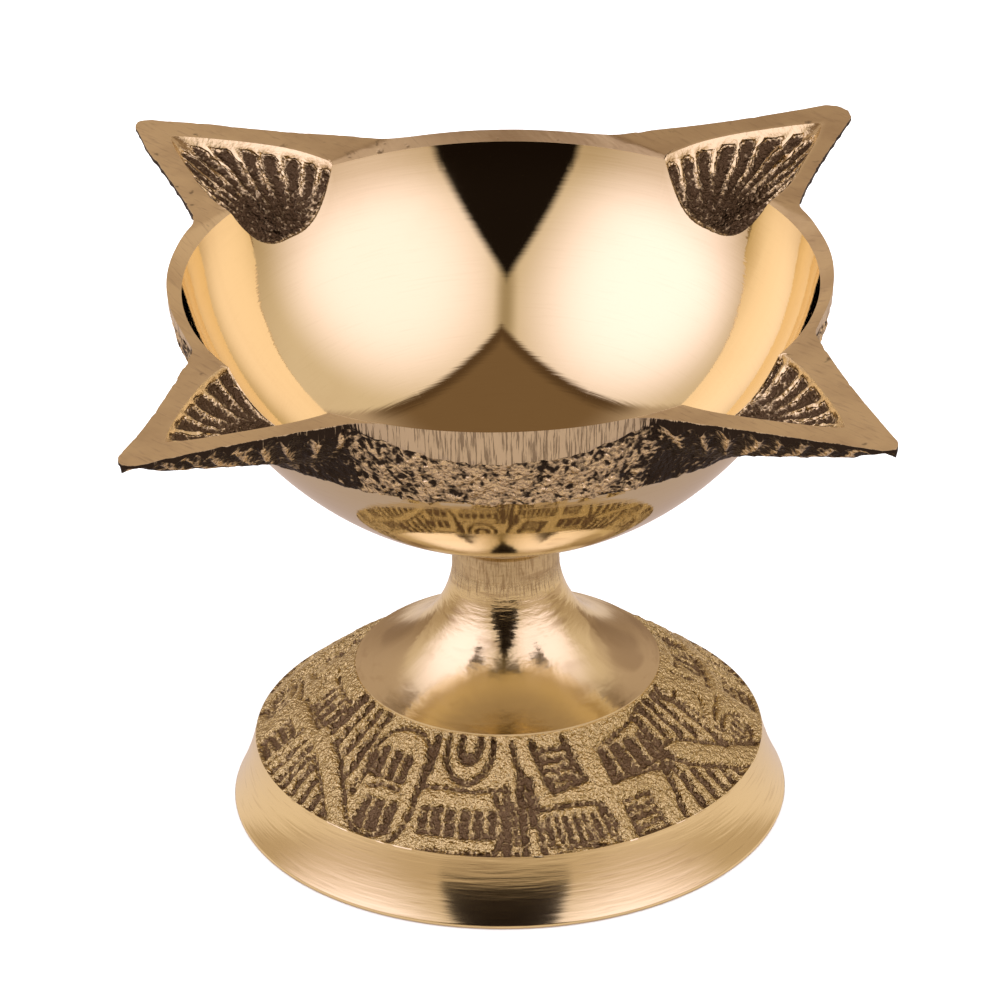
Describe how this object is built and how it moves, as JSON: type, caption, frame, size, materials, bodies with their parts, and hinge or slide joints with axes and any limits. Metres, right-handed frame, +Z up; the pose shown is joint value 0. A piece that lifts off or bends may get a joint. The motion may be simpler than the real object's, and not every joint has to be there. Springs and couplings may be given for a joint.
{
  "type": "diya oil lamp",
  "caption": "Round brass oil bowl with pointed, ribbed wick spouts, screwed onto a flared pedestal with a relief-cast dome and a plain turned foot.",
  "frame": {"origin": "centre of the foot's underside, on the table", "axes": "+Z up along the lamp's axis; the spouts point along +X, +Y, -X and -Y"},
  "size_m": [0.126, 0.126, 0.0705],
  "materials": {
    "bowl_brass": "polished inside and below, ground rim, rough cast band with dark patina",
    "stud_brass": "machined thread",
    "washer_brass": "rolled sheet, dull",
    "pedestal_brass": "polished trumpet and foot, sand-cast relief with dark patina on the dome"
  },
  "bodies": {
    "pedestal": {"pedestal": "pedestal_brass"},
    "washer": {"seat_washer": "washer_brass"},
    "bowl": {"bowl": "bowl_brass", "threaded_stud": "stud_brass"}
  },
  "joints": [
    {"name": "bowl_turn", "type": "hinge", "parent": "pedestal", "child": "washer", "pos_m": [0, 0, 0.0352], "axis": [0, 0, 1], "range_deg": [0, 2160]},
    {"name": "bowl_lift", "type": "slide", "parent": "washer", "child": "bowl", "axis": [0, 0, 1], "range_m": [0, 0.00751]}
  ],
  "couplings": [
    {"joint": "bowl_lift", "follows": "bowl_turn", "m_per_rad": 0.00019894}
  ]
}
